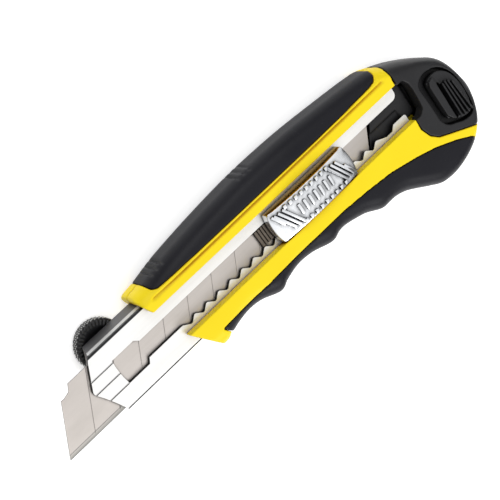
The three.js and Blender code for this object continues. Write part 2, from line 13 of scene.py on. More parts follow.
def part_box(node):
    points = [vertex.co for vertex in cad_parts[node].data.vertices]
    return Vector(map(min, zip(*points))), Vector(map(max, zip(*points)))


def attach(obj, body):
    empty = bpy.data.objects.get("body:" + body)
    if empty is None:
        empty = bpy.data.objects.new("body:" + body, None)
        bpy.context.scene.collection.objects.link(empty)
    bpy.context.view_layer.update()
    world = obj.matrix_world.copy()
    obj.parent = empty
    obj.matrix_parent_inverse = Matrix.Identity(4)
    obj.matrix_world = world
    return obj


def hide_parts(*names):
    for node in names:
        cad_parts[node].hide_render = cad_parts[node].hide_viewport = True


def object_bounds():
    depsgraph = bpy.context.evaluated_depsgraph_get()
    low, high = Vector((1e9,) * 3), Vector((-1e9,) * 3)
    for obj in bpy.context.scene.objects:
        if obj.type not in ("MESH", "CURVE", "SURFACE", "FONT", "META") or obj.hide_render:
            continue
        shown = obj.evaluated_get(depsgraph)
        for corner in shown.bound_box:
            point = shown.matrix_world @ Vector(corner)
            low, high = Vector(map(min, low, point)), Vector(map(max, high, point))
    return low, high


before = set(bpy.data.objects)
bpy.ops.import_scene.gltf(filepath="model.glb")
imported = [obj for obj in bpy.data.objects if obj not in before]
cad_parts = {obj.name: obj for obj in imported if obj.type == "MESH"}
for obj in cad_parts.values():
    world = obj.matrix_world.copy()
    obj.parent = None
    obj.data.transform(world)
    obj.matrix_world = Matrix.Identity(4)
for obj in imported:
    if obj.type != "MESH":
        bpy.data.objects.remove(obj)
cad_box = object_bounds()


def readable(box):
    """A box's two corners, rounded for printing."""
    return [tuple(round(c, 4) for c in corner) for corner in box]


print("CAD nodes", len(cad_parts), "box", readable(cad_box), "m")

# %% [markdown]
# A knife maker draws from three lines: the tip of the blade, its cutting edge, and the flat back that
# rests on the bench. Working in millimetres from those lines keeps every number readable, and one
# matrix carries a finished piece into the frame, in metres. The lines are measured on the frame itself.

# %% The maker's lines
MM = 0.001
blade_low, blade_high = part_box("active_blade")
DRAWING = Matrix.Translation((blade_low.x, blade_low.y, cad_box[0].z)) @ Matrix.Scale(MM, 4)


def on_drawing(corner):
    """A point of the frame, in the drawing's millimetres."""
    return DRAWING.inverted() @ corner


def node_box(node):
    """The two corners of a CAD node, in the drawing's millimetres."""
    low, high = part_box(node)
    return on_drawing(low), on_drawing(high)


FACE = node_box("front_shell")[1].z
RAIL_LOW, RAIL_HIGH = node_box("rail")
HANDLE_START = node_box("back_shell")[0].x
HANDLE_END = node_box("end_cap")[1].x
print("handle from", round(HANDLE_START, 1), "to", round(HANDLE_END, 1), "mm, face at", round(FACE, 1))

# %% [markdown]
# The camera comes first, because everything is judged through it. A long lens about 0.45 m away looks
# down on the knife, turned so that it lies on the diagonal of the square frame. Eye and target are
# points on the drawing; the roll is an angle about the line of sight, with the spine as "up" before it.

# %% Camera
EYE = Vector((-51.6, 175.7, 409.2))
TARGET = Vector((81.1, 9.6, 13.5))
ROLL = math.radians(-36.5)
SENSOR_WIDTH = 36
FOCAL_LENGTH = 108

camera_data = bpy.data.cameras.new("camera")
camera_data.sensor_width = SENSOR_WIDTH
camera_data.lens = FOCAL_LENGTH
camera = bpy.data.objects.new("camera", camera_data)
bpy.context.scene.collection.objects.link(camera)
bpy.context.scene.camera = camera
backward = (EYE - TARGET).normalized()
across = Vector((0, 1, 0)).cross(backward).normalized()
axes = Matrix((across, backward.cross(across), backward)).transposed() @ Matrix.Rotation(ROLL, 3, "Z")
camera.matrix_world = Matrix.Translation(DRAWING @ EYE) @ axes.to_4x4()
print("camera", round((EYE - TARGET).length), "mm from the knife")

# %% [markdown]
# Polished steel and black rubber only show their shape by what they reflect. A bright overhead sky that
# falls off to a dim horizon gives white flats with dark edges. The sky is a ramp of greys over height,
# from straight below to straight above, which is easier to adjust than a room full of panels.

# %% Sky
SKY_GREYS = [(0.0, 0.5), (0.47, 0.3), (0.5, 0.03), (0.7, 0.05), (0.82, 0.95), (0.94, 1.08), (1.0, 0.92)]

scene = bpy.context.scene
scene.view_settings.view_transform = "Standard"
world = bpy.data.worlds.new("studio")
scene.world = world
world.use_nodes = True
sky_nodes = world.node_tree.nodes
sky_links = world.node_tree.links
sky_way = sky_nodes.new("ShaderNodeTexCoord")
sky_split = sky_nodes.new("ShaderNodeSeparateXYZ")
sky_ramp = sky_nodes.new("ShaderNodeValToRGB")
sky_half = sky_nodes.new("ShaderNodeMapRange")
sky_half.inputs["From Min"].default_value = -1
sky_links.new(sky_way.outputs["Generated"], sky_split.inputs[0])
sky_links.new(sky_split.outputs["Z"], sky_half.inputs["Value"])
sky_links.new(sky_half.outputs["Result"], sky_ramp.inputs["Fac"])
sky_links.new(sky_ramp.outputs["Color"], sky_nodes["Background"].inputs["Color"])
while len(sky_ramp.color_ramp.elements) < len(SKY_GREYS):
    sky_ramp.color_ramp.elements.new(1.0)
for element, (position, grey) in zip(sky_ramp.color_ramp.elements, SKY_GREYS):
    element.position = position
    element.color = (grey, grey, grey, 1)
print("sky of", len(SKY_GREYS), "greys")

# %% [markdown]
# Two soft lamps add the long highlight on the grips and the faint shadow that seats the knife on its
# pale table. The table is one flat grid a hair below the knife, so the two never share a surface.

# %% Lamps and table
TABLE_HALF = 2.5
TABLE_GAP = 0.00005


def soft_lamp(name, place, aim, size, power):
    """A round lamp at a place on the drawing, turned towards another; size in metres, power in watts."""
    data = bpy.data.lights.new(name, "AREA")
    data.shape = "DISK"
    data.size = size
    data.energy = power
    lamp = bpy.data.objects.new(name, data)
    scene.collection.objects.link(lamp)
    lamp.location = DRAWING @ Vector(place)
    lamp.rotation_euler = (lamp.location - DRAWING @ Vector(aim)).to_track_quat("Z", "Y").to_euler()


soft_lamp("key_lamp", (60, -430, 330), (90, 5, 0), 0.3, 1.6)
soft_lamp("spine_lamp", (160, 420, 330), (90, 20, 0), 0.22, 0.7)
table_mesh = bpy.data.meshes.new("table")
table_bm = bmesh.new()
bmesh.ops.create_grid(table_bm, x_segments=2, y_segments=2, size=TABLE_HALF)
bmesh.ops.translate(table_bm, vec=(0, 0, cad_box[0].z - TABLE_GAP), verts=table_bm.verts)
table_bm.to_mesh(table_mesh)
table_bm.free()
table = bpy.data.objects.new("table", table_mesh)
scene.collection.objects.link(table)
print("lamps", len(bpy.data.lights), "and a table", 2 * TABLE_HALF, "m wide")

# %% [markdown]
# Finishes are node graphs. Drawing them by hand hides the sums, so a thin wrapper lets a socket be
# added, subtracted and multiplied like a number. The reflected forms make 1 - mask work as well.

# %% Shader arithmetic


class Wire:
    """An output socket that takes part in ordinary arithmetic."""

    def __init__(self, paint, socket):
        self.paint = paint
        self.socket = socket

    def maths(self, operation, first, second):
        return self.paint.node("ShaderNodeMath", {"operation": operation}, {0: first, 1: second})

    def __add__(self, other):
        return self.maths("ADD", self, other)

    def __radd__(self, other):
        return self.maths("ADD", other, self)

    def __sub__(self, other):
        return self.maths("SUBTRACT", self, other)

    def __rsub__(self, other):
        return self.maths("SUBTRACT", other, self)

    def __mul__(self, other):
        return self.maths("MULTIPLY", self, other)

    def __rmul__(self, other):
        return self.maths("MULTIPLY", other, self)

    def over(self, threshold):
        """1 where the value is above the threshold, otherwise 0."""
        return self.maths("GREATER_THAN", self, threshold)

    def size(self):
        """The value without its sign."""
        return self.paint.node("ShaderNodeMath", {"operation": "ABSOLUTE"}, {0: self})


print("a wire is 1 - mask, mask * 0.5, height.over(0.3) or tilt.size()")

# %% [markdown]
# A paint is one material being mixed. One method makes every node from its type, its settings and the
# values or links of its sockets; the others are the few recipes that come back in every finish, such as
# noise, a grey ramp, and a mask of corners and gaps, read from ambient occlusion, where shade is painted
# in.

# %% Mixing a paint


class Paint:
    """A material being mixed: a Principled shader and the nodes that feed it."""

    def __init__(self, name):
        self.material = bpy.data.materials.new(name)
        self.material.use_nodes = True
        self.shader = self.material.node_tree.nodes["Principled BSDF"]

    def node(self, kind, settings=None, inputs=None, output=0):
        made = self.material.node_tree.nodes.new(kind)
        for key, value in (settings or {}).items():
            if key == "stops":
                ramp = made.color_ramp
                while len(ramp.elements) < len(value):
                    ramp.elements.new(1.0)
                for element, (position, colour) in zip(ramp.elements, value):
                    element.position = position
                    element.color = colour
            else:
                setattr(made, key, value)
        for key, value in (inputs or {}).items():
            self.feed(made.inputs[key], value)
        return Wire(self, made.outputs[output])

    def feed(self, socket, value):
        if isinstance(value, Wire):
            self.material.node_tree.links.new(value.socket, socket)
        else:
            socket.default_value = value

    def spot(self):
        """Where a point of the surface is, in metres in the frame."""
        return self.node("ShaderNodeTexCoord", output="Object")

    def facing(self):
        """Which way the surface faces there."""
        return self.node("ShaderNodeTexCoord", output="Normal")

    def part(self, vector, letter):
        """The X, Y or Z of a vector."""
        return self.node("ShaderNodeSeparateXYZ", {}, {"Vector": vector}, output=letter)

    def noise(self, scale, detail=2.0, stretch=(1, 1, 1), roughness=0.5):
        place = self.node("ShaderNodeMapping", {}, {"Vector": self.spot(), "Scale": stretch})
        return self.node("ShaderNodeTexNoise", {}, {
            "Vector": place, "Scale": scale, "Detail": detail, "Roughness": roughness})

    def ramp(self, value, stops):
        grey = [(position, (level, level, level, 1)) for position, level in stops]
        return self.node("ShaderNodeValToRGB", {"stops": grey}, {"Fac": value})

    def mix(self, factor, first, second):
        return self.node("ShaderNodeMix", {"data_type": "RGBA"}, {0: factor, 6: first, 7: second}, output=2)

    def corners(self, reach, low, high):
        """0 deep in a corner or gap and 1 out on the open surface; painted shade follows it."""
        open_sky = self.node("ShaderNodeAmbientOcclusion", {"samples": 8}, {"Distance": reach}, output=1)
        return self.ramp(open_sky, [(low, 0.0), (high, 1.0)])

    def bump(self, height, distance, strength):
        return self.node("ShaderNodeBump", {}, {
            "Height": height, "Distance": distance, "Strength": strength})

    def finish(self, **sockets):
        names = {"colour": "Base Color", "roughness": "Roughness", "metallic": "Metallic",
                 "normal": "Normal", "gloss": "Specular IOR Level",
                 "glow": "Emission Color", "glow_strength": "Emission Strength"}
        for key, value in sockets.items():
            self.feed(self.shader.inputs[names[key]], value)
        return self.material


print("a paint has noise, ramp, mix, corners and bump")

# %% [markdown]
# The yellow shell plastic. Moulded ABS is never one colour: the pigment drifts a little, and the tool's
# fine spark texture breaks the highlight. Noise on Object coordinates, at the size that the real texture
# has, feeds colour, roughness and bump. Shade is painted in: brown in the corners, where yellow light
# bounces, and near black deep in the gaps.

# %% Yellow plastic
DEEP_YELLOW = (0.80, 0.60, 0.008, 1)
PALE_YELLOW = (0.90, 0.71, 0.015, 1)
SCUFFED_YELLOW = (0.72, 0.50, 0.02, 1)
CORNER_SHADE_BROWN = (0.46, 0.20, 0.004, 1)
YELLOW_GAP_SHADE = (0.012, 0.008, 0.003, 1)


def yellow_plastic():
    """Spark-textured yellow, lightly scuffed, with painted shade: brown in its corners and near black deep
    in its gaps.
    """
    paint = Paint("yellow_abs")
    drift = paint.noise(38, 3)
    spark = paint.noise(5200, 2)
    scuff = paint.ramp(paint.noise(420, 4, (1, 3, 1)), [(0.6, 0.0), (0.75, 1.0)])
    colour = paint.mix(drift, DEEP_YELLOW, PALE_YELLOW)
    colour = paint.mix(scuff * 0.12, colour, SCUFFED_YELLOW)
    # painted shade: brown in the corners, near black deep in the gaps
    colour = paint.mix(paint.corners(0.0026, 0.4, 0.88), CORNER_SHADE_BROWN, colour)
    colour = paint.mix(paint.corners(0.004, 0.15, 0.4), YELLOW_GAP_SHADE, colour)
    return paint.finish(colour=colour, roughness=0.34 + 0.14 * spark + 0.06 * scuff,
                        normal=paint.bump(spark, 0.00001, 0.35), gloss=0.14)


YELLOW = yellow_plastic()
print("made", YELLOW.name)

# %% [markdown]
# The black plastics: soft rubber on the grips, nylon for the cap and the wheel. Rubber has a coarse grain
# and almost no shine, with a little pale dust, and all three get painted shade, near black, in their gaps.
# The wheel's knurl is painted bright at its tips, partly wear and partly a painted glint, and a tip is
# simply a point far from the axle, so the brightening is a ramp over that distance.

# %% Rubber and nylon
rim_low, rim_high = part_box("lock_wheel")
WHEEL_RIM = (rim_high.x - rim_low.x) / 2
WHEEL_AXLE = ((rim_low.x + rim_high.x) / 2, (rim_low.y + rim_high.y) / 2, 0)
PALE_DUST = (0.09, 0.09, 0.10, 1)
BLACK_GAP_SHADE = (0.0008, 0.0008, 0.001, 1)
WORN_TIP_AND_GLINT = (0.8, 0.8, 0.78, 1)


def rubber(name, dark, light, grain_size, shine, gloss, reach=0.0015, worn_tips_and_glint=False):
    """A grained black: two tones, the grain's size, the roughness it starts from, and its gloss."""
    paint = Paint(name)
    drift = paint.noise(60, 3)
    grain = paint.noise(grain_size, 3)
    dust = paint.ramp(paint.noise(1600, 2), [(0.66, 0.0), (0.8, 1.0)])
    colour = paint.mix(drift, dark, light)
    colour = paint.mix(dust * 0.12, colour, PALE_DUST)
    # painted shade: near black deep in gaps and recesses
    colour = paint.mix(paint.corners(reach, 0.4, 0.92), BLACK_GAP_SHADE, colour)
    # knurl tips painted bright: partly wear, partly a painted glint
    if worn_tips_and_glint:
        flat_spot = paint.node("ShaderNodeVectorMath", {"operation": "MULTIPLY"},
                               {0: paint.spot(), 1: (1, 1, 0)})
        from_axle = paint.node("ShaderNodeVectorMath", {"operation": "DISTANCE"},
                               {0: flat_spot, 1: WHEEL_AXLE}, output=1)
        tips = paint.ramp(from_axle * (0.9 / WHEEL_RIM), [(0.86, 0.0), (0.888, 1.0)])
        colour = paint.mix(tips * 0.7, colour, WORN_TIP_AND_GLINT)
    return paint.finish(colour=colour, roughness=shine + 0.16 * grain,
                        normal=paint.bump(grain, 0.00003, 0.5), gloss=gloss)


GRIP_RUBBER = rubber("soft_grip_rubber", (0.006, 0.006, 0.009, 1), (0.014, 0.014, 0.018, 1),
                     grain_size=3000, shine=0.38, gloss=0.15)
CAP_PLASTIC = rubber("cap_nylon", (0.012, 0.012, 0.013, 1), (0.024, 0.024, 0.026, 1),
                     grain_size=4200, shine=0.36, gloss=0.25, reach=0.0028)
WHEEL_PLASTIC = rubber("wheel_nylon", (0.006, 0.006, 0.007, 1), (0.014, 0.014, 0.015, 1),
                       grain_size=4200, shine=0.24, gloss=0.45, worn_tips_and_glint=True)
print("made", GRIP_RUBBER.name, CAP_PLASTIC.name, WHEEL_PLASTIC.name)

# %% [markdown]
# Rolled strip steel keeps faint lines along its length, so the noise is stretched along X. The rail is
# polished and its folded sides are rougher, coloured with a painted reflection, pale near the top and
# dark below, with painted shade on the folds and on its punched edges. The blade is warmer and rougher,
# with a ground edge painted darker as the shade of its bevel, and painted shade in its score lines and
# gaps.

# %% Rolled strip steel
WALL_SHINE_LOW = 10.7
TOOTH_DEPTH = 0.75
GROUND_STRIP = 2
SCORE_DEPTH = 0.00015
STEEL_GAP_SHADE = (0.012, 0.010, 0.008, 1)
GROUND_BEVEL_SHADE = (0.07, 0.075, 0.07, 1)
WALL_GREY_REFLECTION = (0.16, 0.16, 0.17, 1)
WALL_DARK_REFLECTION = (0.02, 0.02, 0.024, 1)
FOLD_SHADE = (0.004, 0.004, 0.005, 1)
CUT_FACE_SHADE = (0.008, 0.008, 0.008, 1)


def strip_steel(name, dark, light, rough, line_depth, gap_shade=1.0, gap=(0.0008, 0.4, 0.85), cut_shade=0.0,
                metal=1.0, ground=0.0, folded=False):
    """Two tones with lines along X. Shade is painted into the gaps and onto the steep cut faces, each as
    strong as asked; ground adds the honed strip along the blade's edge, painted darker as its bevel's
    shade, and folded gives the rail's sides their roughness, a painted reflection and painted shade on the
    folds."""
    paint = Paint(name)
    lines = paint.noise(1, 4, (14, 5200, 5200), 0.6)
    smear = paint.ramp(paint.noise(70, 4, (0.5, 1.6, 1)), [(0.35, 0.0), (0.7, 1.0)])
    colour = paint.mix(0.4 * lines + 0.5 * smear, light, dark)
    # painted shade in the gaps and grooves, from the occlusion mask
    gap_shade_mask = (1.0 - paint.corners(*gap)) * gap_shade
    colour = paint.mix(gap_shade_mask, colour, STEEL_GAP_SHADE)
    gloss_back = rough + 0.12 * lines + 0.1 * smear
    spot = paint.spot()
    facing = paint.facing()
    upwards = paint.part(facing, "Z")
    steep = 1.0 - upwards.size().over(0.5)
    height = paint.part(spot, "Z")
    if ground:
        from_edge = paint.part(spot, "Y") - blade_low.y
        edge = paint.ramp(from_edge * (1 / (GROUND_STRIP * MM)), [
            (0.02, 1.0), (0.14, 0.85), (0.62, 0.62), (0.74, 0.9), (0.82, 0.0)])
        steep = steep * (1.0 - height.over(blade_high.z - SCORE_DEPTH))
        metal = metal - 0.9 * (upwards.over(0.3) * (1.0 - upwards.over(0.96)))
        # the honed strip along the edge, painted darker in bands as the shade of its bevel
        colour = paint.mix(edge * ground, colour, GROUND_BEVEL_SHADE)
        gloss_back = gloss_back + 0.1 * edge
    if folded:
        tilt = paint.part(facing, "Y").size()
        wall = tilt.over(0.9)
        fold = paint.ramp(tilt, [(0.1, 0.0), (0.28, 1.0), (0.8, 1.0), (0.95, 0.0)])
        under_wall_shine = 1.0 - height.over(WALL_SHINE_LOW * MM)
        # painted reflection on the side walls: a pale strip near the top and dark below; painted shade on
        # the folds
        colour = paint.mix(wall * 0.4, colour, WALL_GREY_REFLECTION)
        colour = paint.mix(wall * under_wall_shine * 0.85, colour, WALL_DARK_REFLECTION)
        colour = paint.mix(fold, colour, FOLD_SHADE)
        gloss_back = gloss_back + 0.15 * wall
        steep = steep * height.over((RAIL_HIGH.z - TOOTH_DEPTH) * MM)
    # painted shade on the steep cut faces: the slot's punched edges and the blade's edges
    colour = paint.mix(steep * cut_shade, colour, CUT_FACE_SHADE)
    return paint.finish(colour=colour, metallic=metal, roughness=gloss_back,
                        normal=paint.bump(lines, line_depth, 0.4))


RAIL_STEEL = strip_steel("rail_steel", (0.66, 0.65, 0.63, 1), (0.93, 0.925, 0.915, 1), 0.24, 0.000004,
                         gap_shade=0.12, cut_shade=0.97, metal=0.6, folded=True)
BLADE_STEEL = strip_steel("blade_steel", (0.40, 0.37, 0.345, 1), (0.56, 0.52, 0.49, 1), 0.3, 0.000004,
                          gap_shade=0.95, gap=(0.0013, 0.5, 0.78), cut_shade=0.8, ground=0.9)
# a shaded copy of the steel: painted shade for the carrier under the slider
SHADED_STEEL = strip_steel("shaded_steel", (0.06, 0.05, 0.04, 1), (0.20, 0.17, 0.14, 1), 0.28, 0.000003)
SPRING_STEEL = strip_steel("spring_steel", (0.30, 0.29, 0.28, 1), (0.45, 0.44, 0.43, 1), 0.22, 0.000003)
print("made", RAIL_STEEL.name, BLADE_STEEL.name, SHADED_STEEL.name, SPRING_STEEL.name)

# %% [markdown]
# The slider is a zinc casting with bright plating. Casting leaves a fine skin, and the skirts along its
# two sides, below the crown, get a painted golden reflection of the yellow shell beside them. A skirt is
# a face that looks sideways and lies low, so two masks multiplied together find it.

# %% Plated casting
SKIRT_TOP = node_box("slider_button")[1].z - 0.9
SKIRT_YELLOW_REFLECTION = (0.50, 0.29, 0.002, 1)
CASTING_GAP_SHADE = (0.008, 0.009, 0.011, 1)


def cast_metal(name, dark, light, rough):
    """Two tones of bright plating over a cast skin, with a painted reflection of the yellow shell on the
    low side walls and painted shade in the gaps.
    """
    paint = Paint(name)
    skin = paint.noise(1500, 3)
    drift = paint.noise(160, 3)
    colour = paint.mix(drift, dark, light)
    sideways = paint.part(paint.facing(), "Y").size()
    height = paint.part(paint.spot(), "Z")
    skirt = paint.ramp(sideways, [(0.6, 0.0), (0.9, 1.0)]) * (1.0 - height.over(SKIRT_TOP * MM))
    # painted reflection of the yellow shell on the low side walls
    colour = paint.mix(skirt, colour, SKIRT_YELLOW_REFLECTION)
    # painted shade in the gaps between the ribs, studs and bars
    colour = paint.mix(paint.corners(0.0013, 0.6, 0.98), CASTING_GAP_SHADE, colour)
    return paint.finish(colour=colour, metallic=1.0, roughness=rough + 0.12 * skin,
                        normal=paint.bump(skin, 0.00001, 0.5))


ZINC = cast_metal("plated_zinc", (0.72, 0.74, 0.77, 1), (0.92, 0.93, 0.95, 1), 0.22)
print("made", ZINC.name, "with a golden skirt below", round(SKIRT_TOP, 1), "mm")

# %% [markdown]
# The table is pale paper. It glows a little, which keeps it even and nearly white however the lamps fall,
# and its colour and roughness drift slightly, as paper does.

# %% Table paper
table_paint = Paint("table_paper")
table.data.materials.append(table_paint.finish(
    colour=table_paint.mix(table_paint.noise(6, 2), (0.90, 0.90, 0.90, 1), (0.93, 0.93, 0.93, 1)),
    roughness=0.85 + 0.05 * table_paint.noise(300, 2), gloss=0.1, glow=(1, 1, 1, 1), glow_strength=0.45))
print("materials", len(bpy.data.materials))

# %% [markdown]
# Most bodies start from three plain solids, in the drawing's millimetres. A prism comes from a few
# corner points and an extrusion, a block from a cube and a peg from a cone with two equal ends. The same
# solids serve as material to add and as tools to cut with.

# %% Prism, block and peg
PEG_SIDES = 48


def new_object(bm):
    """Turns a bmesh into an object of the scene and frees it."""
    mesh = bpy.data.meshes.new("work")
    bm.to_mesh(mesh)
    bm.free()
    made = bpy.data.objects.new("work", mesh)
    scene.collection.objects.link(made)
    return made


def prism(outline, low, high):
    """A flat outline raised from one height to another."""
    bm = bmesh.new()
    base = bm.faces.new([bm.verts.new((x, y, low)) for x, y in outline])
    raised = bmesh.ops.extrude_face_region(bm, geom=[base])["geom"]
    corners = [item for item in raised if isinstance(item, bmesh.types.BMVert)]
    bmesh.ops.translate(bm, vec=(0, 0, high - low), verts=corners)
    bmesh.ops.recalc_face_normals(bm, faces=bm.faces)
    return new_object(bm)


def block(low, high):
    """A box between two opposite corners."""
    bm = bmesh.new()
    bmesh.ops.create_cube(bm, size=1)
    bmesh.ops.scale(bm, vec=Vector(high) - Vector(low), verts=bm.verts)
    bmesh.ops.translate(bm, vec=(Vector(high) + Vector(low)) / 2, verts=bm.verts)
    return new_object(bm)


def peg(x, y, radius, low, high):
    """An upright cylinder."""
    bm = bmesh.new()
    bmesh.ops.create_cone(bm, cap_ends=True, segments=PEG_SIDES,
                          radius1=radius, radius2=radius, depth=high - low)
    bmesh.ops.translate(bm, vec=(x, y, (low + high) / 2), verts=bm.verts)
    return new_object(bm)


print("tools: prism, block, peg")

# %% [markdown]
# A carve is a boolean that is applied at once, and its tool is thrown away. Mould remeshes a sharp-cut
# solid in small voxels and relaxes it, which leaves the small even radius that every moulded edge has.

# %% Carve and mould


def bake_modifiers(piece):
    """Makes what the modifiers show the piece's own mesh."""
    evaluated = piece.evaluated_get(bpy.context.evaluated_depsgraph_get())
    mesh = bpy.data.meshes.new_from_object(evaluated)
    old = piece.data
    piece.modifiers.clear()
    piece.data = mesh
    bpy.data.meshes.remove(old)


def carve(piece, *tools, way="DIFFERENCE"):
    """Takes tools away from a piece, or joins them to it, or keeps what lies inside them."""
    for tool in tools:
        modifier = piece.modifiers.new("carve", "BOOLEAN")
        modifier.operation = way
        modifier.solver = "EXACT"
        modifier.object = tool
        bake_modifiers(piece)
        bpy.data.objects.remove(tool)
    return piece


def mould(piece, voxel, relax):
    """Remeshes in voxels of so many millimetres, then relaxes the surface so many times."""
    remesh = piece.modifiers.new("mould", "REMESH")
    remesh.mode = "VOXEL"
    remesh.voxel_size = voxel
    bake_modifiers(piece)
    bm = bmesh.new()
    bm.from_mesh(piece.data)
    for _ in range(relax):
        bmesh.ops.smooth_vert(bm, verts=bm.verts, factor=0.5,
                              use_axis_x=True, use_axis_y=True, use_axis_z=True)
    bm.to_mesh(piece.data)
    bm.free()
    return piece


print("ways: DIFFERENCE, UNION, INTERSECT, then a mould")

# %% [markdown]
# Two helpers join the drawing and the frame. One takes a copy of a CAD node onto the drawing and welds
# it; the other carries a finished piece the other way, gives it its finish, and says which body it moves
# with, what it is made of and which CAD nodes it stands for.

# %% Copies, and settling a piece in the frame
WELD = 0.0005


def copy_of(node):
    """A CAD node's shape as one welded mesh, on the drawing."""
    bm = bmesh.new()
    bm.from_mesh(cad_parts[node].data)
    bmesh.ops.transform(bm, matrix=DRAWING.inverted(), verts=bm.verts)
    bmesh.ops.remove_doubles(bm, verts=bm.verts, dist=WELD)
    return new_object(bm)


def settle(piece, name, body, slot, material, *nodes):
    """Carries a piece from the drawing to its place in the frame and hands it to its body."""
    piece.name = name
    piece.data.name = name
    piece.data.transform(DRAWING)
    piece.data.materials.clear()
    piece.data.materials.append(material)
    for polygon in piece.data.polygons:
        polygon.use_smooth = True
    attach(piece, body)
    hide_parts(*nodes)
    print(name, len(piece.data.polygons), "faces")


print("pieces are settled at", MM, "m to the millimetre")

# %% [markdown]
# The handle's outline is two curves: the arched spine, and the belly with its finger hollows. Each is a
# row of points a few millimetres apart, closer where it bends, with a smooth line drawn through them.

# %% The handle's two curves
SPINE = [
    (43, 23.2), (44.5, 23.9), (48.5, 24.4), (58, 26.2), (73, 27.8), (89, 28.9), (98.5, 29.1), (114.5, 28.7),
    (134.5, 27.1), (143, 26.2), (147, 25.5), (151, 23.9), (157.4, 21.1), (165.2, 16.5), (169.3, 13),
    (171.5, 8.2), (172.5, 3.9), (172.8, -0.5)]
BELLY = [
    (43, -7), (57.8, -7.2), (61.5, -6.3), (65.5, -5.3), (70, -4.8), (74.9, -5.4), (81.6, -7.9), (85, -6.6),
    (91, -5.3), (97.2, -5.8), (104.4, -7.9), (108, -7), (111.6, -7), (118.9, -8.8), (124.5, -11.6),
    (128, -11.8), (131.1, -12), (135.7, -13.5), (143, -17.8), (147.1, -20), (151.4, -20.6), (155.5, -20.3),
    (159.9, -19.2), (164.5, -17.1), (168.5, -13.4), (171.4, -8.4), (172.5, -4.4), (172.8, -0.5)]


def through(points, steps=14):
    """A smooth line through the points, as a Catmull-Rom curve."""
    line = []
    for index in range(len(points) - 1):
        before = Vector(points[max(index - 1, 0)])
        start = Vector(points[index])
        end = Vector(points[index + 1])
        after = Vector(points[min(index + 2, len(points) - 1)])
        for step in range(steps):
            t = step / steps
            bend_in = (end - before) * 0.5
            bend_out = (after - start) * 0.5
            line.append((2 * t**3 - 3 * t**2 + 1) * start + (t**3 - 2 * t**2 + t) * bend_in
                        + (-2 * t**3 + 3 * t**2) * end + (t**3 - t**2) * bend_out)
    line.append(Vector(points[-1]))
    return line


def height_at(line, x):
    """How high the line is at a place along the handle."""
    for start, end in zip(line, line[1:]):
        if end.x >= x:
            return start.y + (end.y - start.y) * (x - start.x) / max(end.x - start.x, 1e-9)
    return line[-1].y


spine_line = through(SPINE)
belly_line = through(BELLY)
print("widest", round(max(point.y for point in spine_line) - min(point.y for point in belly_line), 1), "mm")

# %% [markdown]
# The handle is one smooth bar before it is divided: a rounded rectangle whose width follows the spine
# on one side and the finger hollows on the other. A cylinder with many rings gives the topology, and
# each ring is set out from the two curves, so the shells, both grips and the cap share one flowing
# surface. The last rings crowd together over the tail, where the bar closes in a quarter circle.

# %% The handle's bar
EDGE_RADIUS = 6
TAIL_ROUND = 5
TAIL_LENGTH = 7
BODY_SHARE = 0.88
TAIL_SHARE = 0.12
BAR_RINGS = 170
PER_CORNER = 12


def handle_bar(inset):
    """The whole handle as one closed bar, its surface set in by so many millimetres."""
    bm = bmesh.new()
    bmesh.ops.create_cone(bm, cap_ends=True, segments=4 * PER_CORNER, radius1=1, radius2=1, depth=1)
    lengthwise = [edge for edge in bm.edges if abs(edge.verts[0].co.z - edge.verts[1].co.z) > 0.5]
    bmesh.ops.subdivide_edges(bm, edges=lengthwise, cuts=BAR_RINGS - 1, use_grid_fill=True)
    tail_start = HANDLE_END - TAIL_LENGTH
    for vert in bm.verts:
        along = vert.co.z + 0.5
        x = HANDLE_START + (tail_start - HANDLE_START) * along / BODY_SHARE
        if along > BODY_SHARE:
            x = tail_start + TAIL_LENGTH * math.sin((along - BODY_SHARE) / TAIL_SHARE * math.pi / 2) * 0.998
        into_tail = min(max(0, (x - (HANDLE_END - TAIL_ROUND)) / TAIL_ROUND), 0.98)
        shrink = inset + TAIL_ROUND * (1 - math.sqrt(1 - into_tail**2)) * 0.7
        top = height_at(spine_line, x) - inset
        bottom = height_at(belly_line, x) + inset
        half_width = max((top - bottom) / 2, 0.5)
        half_depth = FACE / 2 - shrink
        radius = min(EDGE_RADIUS, half_width * 0.9, half_depth * 0.9)
        turn = math.atan2(vert.co.y, vert.co.x) % (2 * math.pi)
        step = round(turn / (2 * math.pi) * 4 * PER_CORNER) % (4 * PER_CORNER)
        corner, part = divmod(step, PER_CORNER)
        angle = (corner + part / (PER_CORNER - 1)) * math.pi / 2
        side = 1 if corner in (0, 3) else -1
        front = 1 if corner < 2 else -1
        y = (top + bottom) / 2 + side * (half_width - radius) + radius * math.cos(angle)
        z = FACE / 2 + front * (half_depth - radius) + radius * math.sin(angle)
        vert.co = (x, y, z)
    bmesh.ops.recalc_face_normals(bm, faces=bm.faces)
    return new_object(bm)


print("bar of", BAR_RINGS, "rings,", 4 * PER_CORNER, "points round each")

# %% [markdown]
# The outlines where one material gives way to the next. They are drawn once, flat, and cut straight
# through the bar: the top grip, the finger grip and the end cap each keep what lies inside theirs.

